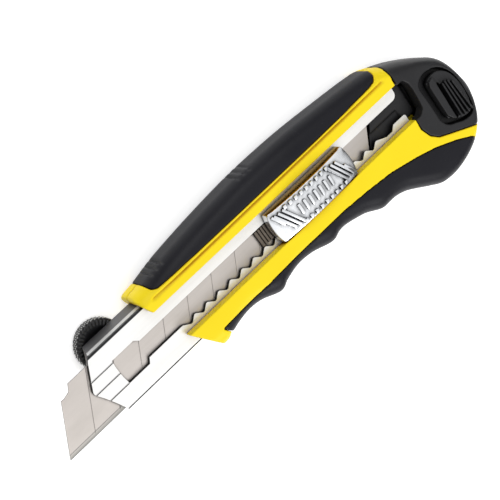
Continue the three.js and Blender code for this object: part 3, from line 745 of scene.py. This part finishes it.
# %% Outlines of the grips and the cap
TOP_GRIP_EDGE = [
    (49.6, 40), (48.6, 24.2), (49, 22.6), (50.8, 21.9), (118.8, 22.1), (142.4, 22.6), (144.8, 22.9),
    (146.4, 24), (148.4, 27), (148.8, 40)]
FINGER_GRIP_EDGE = [
    (62.2, -30), (62, -6.2), (58.7, -1.6), (102.4, -1.1), (112.1, -1.2), (122.1, -1.9), (132.3, -3),
    (142.8, -5.4), (150, -7.5), (157.5, -10.6), (162.5, -13.2), (164.6, -15), (166, -30)]
CAP_EDGE = [
    (151.6, 40), (151.1, 24.5), (150.7, 21), (150.4, 17.3), (149.4, 4), (149.3, 0.4), (150.6, -3),
    (153.1, -5.5), (158, -7.7), (165.6, -11), (185, -19.5), (185, 40)]
NOSE_CUT = [
    (40, 40), (45.6, 40), (45.2, 25.2), (43.9, 24.2), (43.2, 22.6), (43.8, 20.4), (45.1, 17.3), (45.1, 12),
    (40, 12)]
CHIN_CUT = [
    (40, 12), (45, 12), (49.4, 4.4), (57.1, -6.6), (57.7, -7), (59.3, -6.2), (60.7, -4.5), (63.5, -7.4),
    (63.5, -30), (40, -30)]
SEAM = 0.12
FIT = 0.15


def through_all(outline, dx=0, dy=0):
    """A tool with this outline, moved a little if asked, that reaches through the whole depth."""
    return prism([(x + dx, y + dy) for x, y in outline], -5, 30)


print("seams of", SEAM, "mm and a fit of", FIT, "mm round the rail")

# %% [markdown]
# The soft grips are over-moulded rubber, a skin about 2 mm thick on a hard core. Intersecting the bar
# with an outline and carving the core away gives the skin. Short slanted nicks cross the top grip at
# the crest in two places, where a thumb finds them.

# %% Top grip and finger grip
GRIP_THICKNESS = 2.2
GRIP_INSET = 0.02
NICK_PITCH = 2.3
NICK_LEAN = math.radians(-38)
NICK_RISE = 0.9


def grip(outline):
    """The skin of the handle inside an outline."""
    piece = carve(handle_bar(GRIP_INSET), through_all(outline), way="INTERSECT")
    return carve(piece, handle_bar(GRIP_THICKNESS - SEAM))


def crest_nicks(start):
    """Three short slanted cuts along the crest of the spine."""
    nicks = []
    for count in range(3):
        x = start + NICK_PITCH * count
        nick = block((-0.35, -2.2, -9), (0.35, 2.2, 9))
        crest = Matrix.Translation((x, height_at(spine_line, x) + NICK_RISE, FACE / 2))
        nick.data.transform(crest @ Matrix.Rotation(NICK_LEAN, 4, "Z"))
        nicks.append(nick)
    return nicks


top_grip = carve(grip(TOP_GRIP_EDGE), *crest_nicks(53.5), *crest_nicks(92.5))
settle(mould(top_grip, 0.32, 4), "top_grip_rubber", "handle", "soft_grip", GRIP_RUBBER, "top_grip")
finger_grip = mould(grip(FINGER_GRIP_EDGE), 0.34, 4)
settle(finger_grip, "finger_grip_rubber", "handle", "soft_grip", GRIP_RUBBER, "finger_grip")

# %% [markdown]
# The yellow shells are what is left of the bar between the grips, plus the hard core under them. Both
# halves come from this one form, with room for the rail, the cap and the cut-back nose and chin.

# %% The form of both shells


def shells():
    """The yellow part of the handle before it is split in two."""
    skin = carve(handle_bar(0),
                 through_all(TOP_GRIP_EDGE, 0, -SEAM), through_all(TOP_GRIP_EDGE, SEAM, 0),
                 through_all(TOP_GRIP_EDGE, -SEAM, 0),
                 through_all(FINGER_GRIP_EDGE, 0, SEAM), through_all(FINGER_GRIP_EDGE, -SEAM, 0))
    carve(skin, handle_bar(GRIP_THICKNESS), way="UNION")
    rail_room = block((30, RAIL_LOW.y - FIT, RAIL_LOW.z - FIT), (160, RAIL_HIGH.y + FIT, RAIL_HIGH.z + FIT))
    return carve(skin, through_all(CAP_EDGE, -2 * SEAM, 0), through_all(CAP_EDGE, -SEAM, -2 * SEAM),
                 through_all(NOSE_CUT), through_all(CHIN_CUT), rail_room)


print("rail room from", round(RAIL_LOW.z - FIT, 2), "to", round(RAIL_HIGH.z + FIT, 2), "mm above the bench")

# %% [markdown]
# The front shell is the half above the split, with the channel that shows the rail, and two arms joined
# by a bridge that reach under the cap. A shallow step follows the top grip, so the face sits a little
# lower than the lip that frames the rubber. The fine crease beside the lip is slanted, and voxels would
# break it into dashes, so it is pressed in after moulding: vertices near its line sink, deepest on it.

# %% Front shell
SPLIT = node_box("back_shell")[1].z
CHANNEL_LOW = 4.4
CHANNEL_HIGH = 17.3
STEP_DEPTH = 0.5
LIP = 1.05
CREASE = 0.8
CREASE_LEFT, CREASE_RIGHT = 48.2, 146.4
SLOPE_START, SLOPE_RUN, SLOPE_RISE = 50.6, 92, 0.7
ARM_TOP = 9.8

front_shell = carve(shells(), block((30, -40, -5), (200, 60, SPLIT + FIT)))
carve(front_shell, block((30, CHANNEL_LOW, RAIL_HIGH.z - 1), (160, CHANNEL_HIGH, 30)))
step_outline = [
    (40, 12), (40, 19.8), (46.6, 20.2), (48.2, 22.4 - LIP), (50.6, 21.9 - LIP),
    (142.6, 22.6 - LIP), (146.3, 22.6 - LIP), (147.6, 24 - LIP), (160, 21), (160, 12)]
carve(front_shell, prism(step_outline, FACE - STEP_DEPTH, 30))
arms = [((146, RAIL_HIGH.y + FIT, SPLIT + FIT), (153.5, 21.6, ARM_TOP)),
        ((146, -2, SPLIT + FIT), (153.5, RAIL_LOW.y - FIT, ARM_TOP)),
        ((150.4, -2, SPLIT + FIT), (153.5, 21.6, ARM_TOP))]
carve(front_shell, *[block(low, high) for low, high in arms], way="UNION")
mould(front_shell, 0.31, 2)
for vert in front_shell.data.vertices:
    along = min(max((vert.co.x - SLOPE_START) / SLOPE_RUN, 0), 1)
    off_line = (vert.co.y - (21.9 - LIP - CREASE / 2 + SLOPE_RISE * along)) / (CREASE / 2)
    past_end = max(CREASE_LEFT - vert.co.x, vert.co.x - CREASE_RIGHT, 0)
    if vert.co.z > FACE - 1.2:
        vert.co.z -= CREASE * math.exp(-off_line**2 - past_end**2)
settle(front_shell, "front_shell_moulding", "handle", "yellow_plastic", YELLOW, "front_shell")

# %% [markdown]
# The back shell is the other half. Three screws hold the rail through it, each in a hole with a wider
# counterbore for its head. The holes are placed from the screws themselves, so they can't drift apart.

# %% Back shell
SCREW_HOLE = 1.55
COUNTERBORE = 2.95
COUNTERBORE_DEPTH = 2.1

screws = [node_box(f"rail_screw_{number}") for number in (1, 2, 3)]
back_shell = carve(shells(), block((30, -40, SPLIT), (200, 60, 40)))
for low, high in screws:
    middle = (low + high) / 2
    carve(back_shell, peg(middle.x, middle.y, SCREW_HOLE, -1, 6),
          peg(middle.x, middle.y, COUNTERBORE, -1, COUNTERBORE_DEPTH))
settle(mould(back_shell, 0.36, 3), "back_shell_moulding", "handle", "yellow_plastic", YELLOW, "back_shell")

# %% [markdown]
# The end cap closes the magazine. It is the tail of the bar with a bite out of its front for the slider
# to run into, and a sunken pocket where the ribbed latch sits. A thumb pulls it off, so its face has a
# shallow dish beside the pocket, pressed in after moulding in the same way as the crease.

# %% End cap
LATCH_PAD = [
    (161.4, 11.6), (159.6, 10.8), (158.9, 9.4), (158.9, -1.6), (160.2, -3.8), (164, -6.2), (167, -6.5),
    (168.6, -5), (169.4, -1), (169.2, 4.6), (167.6, 9), (164.6, 11.4)]
LATCH_POCKET = [
    (161.4, 13.4), (158.4, 12.8), (156.6, 10.6), (156.4, 3.6), (156.5, -1.6), (158, -4.6), (161, -6.2),
    (164.2, -7.5), (167.6, -7.5), (169.2, -5.7), (169.9, -1.2), (169.7, 4.9), (168, 9.6), (165.2, 12.5)]
SLIDER_BITE = [
    (145, 16.9), (152.9, 16.9), (154.2, 14.9), (154.5, 12.2), (154.1, 8.5), (153.6, 5.5), (151.8, 4.1),
    (145, 4.2)]
POCKET_FLOOR = 14.6
DISH = Vector((159.5, 13.0))
DISH_LENGTH = 6.5
DISH_WIDTH = 5.5
DISH_DEPTH = 1.0
DISH_LOWEST = 14.8


def loop_through(points, steps=5):
    """The same smooth line as the spine's, closed on itself."""
    line = through([points[-1]] + points + points[:2], steps)
    return [(point.x, point.y) for point in line[steps:-steps - 1]]


end_cap = carve(handle_bar(0), through_all(CAP_EDGE), way="INTERSECT")
bite = prism(SLIDER_BITE, 11, 30)
arm_room = block((140, -2.4, 3), (153.9, 22, 12.8))
rail_end = block((140, RAIL_LOW.y - FIT, 3), (RAIL_HIGH.x + 0.4, RAIL_HIGH.y + FIT, RAIL_HIGH.z + FIT))
tongue_room = block((150, 1.6, 6), (167, 15.4, 12))
pocket = prism(loop_through(LATCH_POCKET), POCKET_FLOOR, 30)
hook_slot = block((159.8, 5.2, 11), (162.9, 10.4, 20))
spring_seat = peg(165.4, 2.2, 2.1, 12.9, 16)
carve(end_cap, bite, arm_room, rail_end, tongue_room, pocket, hook_slot, spring_seat)
mould(end_cap, 0.3, 4)
for vert in end_cap.data.vertices:
    reach = ((vert.co.x - DISH.x) / DISH_LENGTH) ** 2 + ((vert.co.y - DISH.y) / DISH_WIDTH) ** 2
    share = min(max((vert.co.z - DISH_LOWEST) / 2.2, 0), 1)
    vert.co.z -= DISH_DEPTH * share * math.exp(-reach)
settle(end_cap, "end_cap_moulding", "cap", "black_plastic", CAP_PLASTIC, "end_cap")

# %% [markdown]
# The magazine's black block fills the tail of the rail. Its moulding has a shallow parting groove along
# the middle of its visible face, so a copy of the frame's piece gets a thin cut on each of its levels.

# %% Magazine block
magazine = copy_of("magazine_block")
carve(magazine, block((120, 9.7, 11.3), (148.2, 10.2, 14)), block((147, 9.7, 10.4), (160, 10.2, 14)))
mould(magazine, 0.3, 1)
settle(magazine, "magazine_moulding", "handle", "black_plastic", CAP_PLASTIC, "magazine_block")

# %% [markdown]
# The latch is a pad with four ribs for the thumb, and a hook below that holds the cap on the magazine's
# tongue. A smooth ridge stands along the pad's front edge, with a valley between it and the first rib.
# The ribs fan out a little, so each is a bar with its own foot, head and lean.

# %% Cap latch
RIBS = [(-5.0, 7.6), (-5.7, 7.7), (-6.0, 7.2), (-5.8, 6.0)]
RIB_HALF = 0.36
RIB_PITCH = 1.33
FIRST_RIB = 163.35

latch_low, latch_high = node_box("cap_latch")
latch = prism(loop_through(LATCH_PAD), latch_low.z + 6.7, latch_high.z - 2.1)
ridge = [(161.6, 11.4)] + LATCH_PAD[1:5] + [(161.6, -4.6)]
carve(latch, prism(ridge, 16, latch_high.z - 0.8), way="UNION")
hook_stem = block((160.4, 5.8, 8.9), (162.3, 9.8, 16.1))
hook_foot = block((160.4, 3, 8.9), (162.5, 12.4, 9.6))
carve(latch, hook_stem, hook_foot, way="UNION")
valley = block((-0.75, -7, -3.4), (0.65, 6.6, 1))
valley.data.transform(Matrix.Translation((162.2, 1.9, latch_high.z)) @ Matrix.Rotation(-0.02, 4, "Z"))
carve(latch, valley)
for count, (foot, head) in enumerate(RIBS):
    rib = block((-RIB_HALF, foot, -2.6), (RIB_HALF, head, -0.7))
    lean = Matrix.Rotation(-0.01 + 0.03 * count, 4, "Z")
    rib.data.transform(Matrix.Translation((FIRST_RIB + RIB_PITCH * count, 0, latch_high.z)) @ lean)
    carve(latch, rib, way="UNION")
settle(mould(latch, 0.16, 3), "cap_latch_pad", "latch", "black_plastic", CAP_PLASTIC, "cap_latch")

# %% [markdown]
# The die-cast slider's body is a block with a crowned top and slightly bulging ends. A cube cut into
# strips takes both curves: its top rows rise to the crown, and its ends draw in towards the corners.

# %% Slider body
CROWN = 2.0
STUD = 0.75
END_BULGE = 0.8
HALF_WIDTH = 5.2
BODY_BEVEL = 0.35

slider_low, slider_high = node_box("slider_button")
slider_middle = (slider_low + slider_high) / 2
SHOULDER = slider_high.z - CROWN - STUD


def crown_at(x):
    """How high the crown is at a place along the slider."""
    half = (slider_high.x - slider_low.x) / 2
    return SHOULDER + CROWN * (1 - ((x - slider_middle.x) / half) ** 2)


def slider_body():
    """The bare casting, with its crown and its bulging ends."""
    bm = bmesh.new()
    bmesh.ops.create_cube(bm, size=1)
    bmesh.ops.scale(bm, vec=(slider_high.x - slider_low.x, slider_high.y - slider_low.y, 1), verts=bm.verts)
    lengthwise = [edge for edge in bm.edges if abs(edge.verts[0].co.x - edge.verts[1].co.x) > 1]
    bmesh.ops.subdivide_edges(bm, edges=lengthwise, cuts=24, use_grid_fill=True)
    across_edges = [edge for edge in bm.edges if abs(edge.verts[0].co.y - edge.verts[1].co.y) > 1]
    bmesh.ops.subdivide_edges(bm, edges=across_edges, cuts=8, use_grid_fill=True)
    bmesh.ops.translate(bm, vec=(slider_middle.x, slider_middle.y, 0), verts=bm.verts)
    for vert in bm.verts:
        bulge = END_BULGE * (1 - ((vert.co.y - slider_middle.y) / HALF_WIDTH) ** 2)
        end = 1 if vert.co.x > slider_high.x - 0.01 else -1 if vert.co.x < slider_low.x + 0.01 else 0
        vert.co.z = crown_at(vert.co.x) if vert.co.z > 0 else slider_low.z
        vert.co.x -= end * (END_BULGE - bulge)
    sharp = [edge for edge in bm.edges if edge.calc_face_angle(0) > 0.7]
    bmesh.ops.bevel(bm, geom=sharp, offset=BODY_BEVEL, affect="EDGES", segments=2, profile=0.5, material=-1)
    return new_object(bm)


slider = slider_body()
print("slider body", round(slider_high.x - slider_low.x, 1), "mm long, crown", CROWN, "mm")

# %% [markdown]
# Slanted ribs cross the crown at both ends, two rows of small square studs run along its edges and plain
# cross bars lie between them. Each is a bar that follows the crown's slope and is joined to the body,
# because a casting is one piece. Below, it is hollow for the lock spring and has a hole for each rivet.
# A very small bevel then rounds every edge, as the mould and the plating do.

# %% Slider button
PITCH = 2.2
END_BARS = [(8.6, 0), (8.6, 0), (8.2, 0.2), (5.0, 1.8)]
CAST_EDGE = 0.09
SPRING_ROOM = ((99.5, 6.2, 10), (114.5, 14.2, 16.8))
RIVETS_AT = (96.8, 117.5)


def raised_bar(x, y, length, width, lean, height):
    """A small bar that stands on the crown and follows its slope."""
    bar = block((-width / 2, -length / 2, -0.9), (width / 2, length / 2, height))
    slope = crown_at(x + 0.5) - crown_at(x - 0.5)
    tilt = Matrix.Rotation(-math.atan(slope), 4, "Y")
    bar.data.transform(Matrix.Translation((x, y, crown_at(x))) @ tilt @ Matrix.Rotation(lean, 4, "Z"))
    return bar


details = []
for side in (-1, 1):
    for count, (length, shift) in enumerate(END_BARS):
        x = slider_middle.x + side * (9.6 + 1.6 * count)
        details.append(raised_bar(x, slider_middle.y - side * shift, length, 0.8, 0.5, 0.6))
    for count in range(9):
        x = slider_middle.x + (count - 4) * PITCH - side * 1.6
        details.append(raised_bar(x, slider_middle.y + side * 4.0, 1.1, 1.1, 0, STUD - 0.05))
for count in range(7):
    details.append(raised_bar(slider_middle.x + (count - 3) * PITCH, slider_middle.y, 3.4, 0.9, 0, 0.5))
print("raised details", len(details))
for detail in details:
    carve(slider, detail, way="UNION")
carve(slider, block(*SPRING_ROOM))
for x in RIVETS_AT:
    carve(slider, peg(x, 9.9, 1.3, 10, 16.2))
soft_edges = slider.modifiers.new("soft_edges", "BEVEL")
soft_edges.width = CAST_EDGE
soft_edges.segments = 2
soft_edges.limit_method = "ANGLE"
soft_edges.angle_limit = math.radians(40)
bake_modifiers(slider)
settle(slider, "slider_casting", "slider", "cast_zinc", ZINC, "slider_button")

# %% [markdown]
# The clamp wheel. Its rim has a crossed knurl and its face short radial serrations. Spinning one profile
# gives an even grid of points, and the knurl is a wave in angle and height that moves them in and out.

# %% Lock wheel
wheel_low, wheel_high = node_box("lock_wheel")
wheel_middle = (wheel_low + wheel_high) / 2
WHEEL_RADIUS = (wheel_high.x - wheel_low.x) / 2
BORE = 2.4
KNURLS = 38
KNURL_DEPTH = 0.1
KNURL_SLANT = 4.6
SERRATION = 0.12


def lock_wheel():
    """A knurled wheel with a bore, spun from one profile of radius and height."""
    thick = wheel_high.z - wheel_low.z
    rim = WHEEL_RADIUS
    profile = [(BORE, 0.3), (5.2, 0.3), (5.5, 0.0), (6.2, 0.0), (6.9, 0.0), (rim - 0.5, 0.0)]
    profile += [(rim, 0.3 + (thick - 0.6) * step / 18) for step in range(19)]
    profile += [(rim - 0.5, thick), (6.9, thick), (6.2, thick), (5.5, thick)]
    profile += [(5.2, thick - 0.3), (BORE, thick - 0.3)]
    bm = bmesh.new()
    verts = [bm.verts.new((radius, 0, height)) for radius, height in profile]
    edges = [bm.edges.new(pair) for pair in zip(verts, verts[1:] + verts[:1])]
    bmesh.ops.spin(bm, geom=verts + edges, axis=(0, 0, 1), cent=(0, 0, 0), angle=2 * math.pi,
                   steps=KNURLS * 8, use_merge=True)
    bmesh.ops.remove_doubles(bm, verts=bm.verts, dist=WELD)
    for vert in bm.verts:
        radius = math.hypot(vert.co.x, vert.co.y)
        turn = math.atan2(vert.co.y, vert.co.x) * KNURLS
        if radius > rim - 0.1:
            slope = vert.co.z * KNURL_SLANT
            tip = abs(math.sin((turn + slope) / 2)) * abs(math.sin((turn - slope) / 2))
            vert.co.xy *= 1 - KNURL_DEPTH * (1 - tip)
        elif 5.9 < radius < rim - 0.1:
            inward = 1 if vert.co.z < thick / 2 else -1
            vert.co.z += inward * SERRATION * (1 + math.cos(turn))
    bmesh.ops.recalc_face_normals(bm, faces=bm.faces)
    bmesh.ops.translate(bm, vec=(wheel_middle.x, wheel_middle.y, wheel_low.z), verts=bm.verts)
    return new_object(bm)


settle(lock_wheel(), "lock_wheel_knurled", "wheel", "black_plastic", WHEEL_PLASTIC, "lock_wheel")

# %% [markdown]
# The rail is one sheet folded into a channel. The frame already holds its exact outline with the toothed
# slot, so a welded copy is taken and kept inside a box with round long corners, which is what folding
# leaves. Every cut edge then gets a hair of a bevel, because a stamped edge catches the light.

# %% Rail
FOLD_RADIUS = 1.0
STAMPED_EDGE = 0.07


def fold_form():
    """The outside of a folded strip: the rail's own box with its four long corners rounded."""
    margin = Vector((5, 0.01, 0.01))
    form = block(RAIL_LOW - margin, RAIL_HIGH + margin)
    bm = bmesh.new()
    bm.from_mesh(form.data)
    folds = [edge for edge in bm.edges if abs(edge.verts[0].co.x - edge.verts[1].co.x) > 1]
    bmesh.ops.bevel(bm, geom=folds, offset=FOLD_RADIUS, affect="EDGES", segments=7, profile=0.5,
                    material=-1)
    bm.to_mesh(form.data)
    bm.free()
    return form


def crisp(piece, width):
    """Welds the triangles back into whole faces and breaks every sharp edge with a hair of a bevel."""
    bm = bmesh.new()
    bm.from_mesh(piece.data)
    bmesh.ops.dissolve_limit(bm, angle_limit=math.radians(1), verts=bm.verts, edges=bm.edges)
    sharp = [edge for edge in bm.edges if edge.calc_face_angle(0) > 0.6]
    bmesh.ops.bevel(bm, geom=sharp, offset=width, affect="EDGES", segments=2, profile=0.5,
                    material=-1, clamp_overlap=True)
    bm.to_mesh(piece.data)
    bm.free()
    return piece


def shade_flats(piece):
    """Flat faces stay flat under smooth shading when each corner keeps its own face's direction."""
    weighted = piece.modifiers.new("flats", "WEIGHTED_NORMAL")
    weighted.keep_sharp = False
    weighted.weight = 100


rail = crisp(carve(copy_of("rail"), fold_form(), way="INTERSECT"), STAMPED_EDGE)
settle(rail, "rail_strip", "handle", "rail_steel", RAIL_STEEL, "rail")
shade_flats(rail)

# %% [markdown]
# Pieces whose shape is already right stay as they are in the frame and only get their finish: the
# blades, the follower, the carrier under the slider, and the springs and fasteners.

# %% Finishes on the frame's own pieces
BLADES = ("active_blade", "spare_blade_1", "spare_blade_2", "spare_blade_3")
FASTENERS = ("rail_screw_1", "rail_screw_2", "rail_screw_3", "slider_rivet_1", "slider_rivet_2",
             "lock_spring", "wheel_nut", "wheel_clip", "clamp_stud", "clamp_plate",
             "follower_spring", "latch_spring")


def dress(node, material):
    """Gives a CAD node its finish and leaves its shape alone."""
    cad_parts[node].data.materials.clear()
    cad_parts[node].data.materials.append(material)


for node in BLADES:
    dress(node, BLADE_STEEL)
dress("blade_follower", CAP_PLASTIC)
# the carrier gets the darker steel as painted shade
dress("slider_carrier", SHADED_STEEL)
for node in FASTENERS:
    dress(node, SPRING_STEEL)
print("dressed", len(BLADES) + len(FASTENERS) + 2, "of the frame's own pieces")
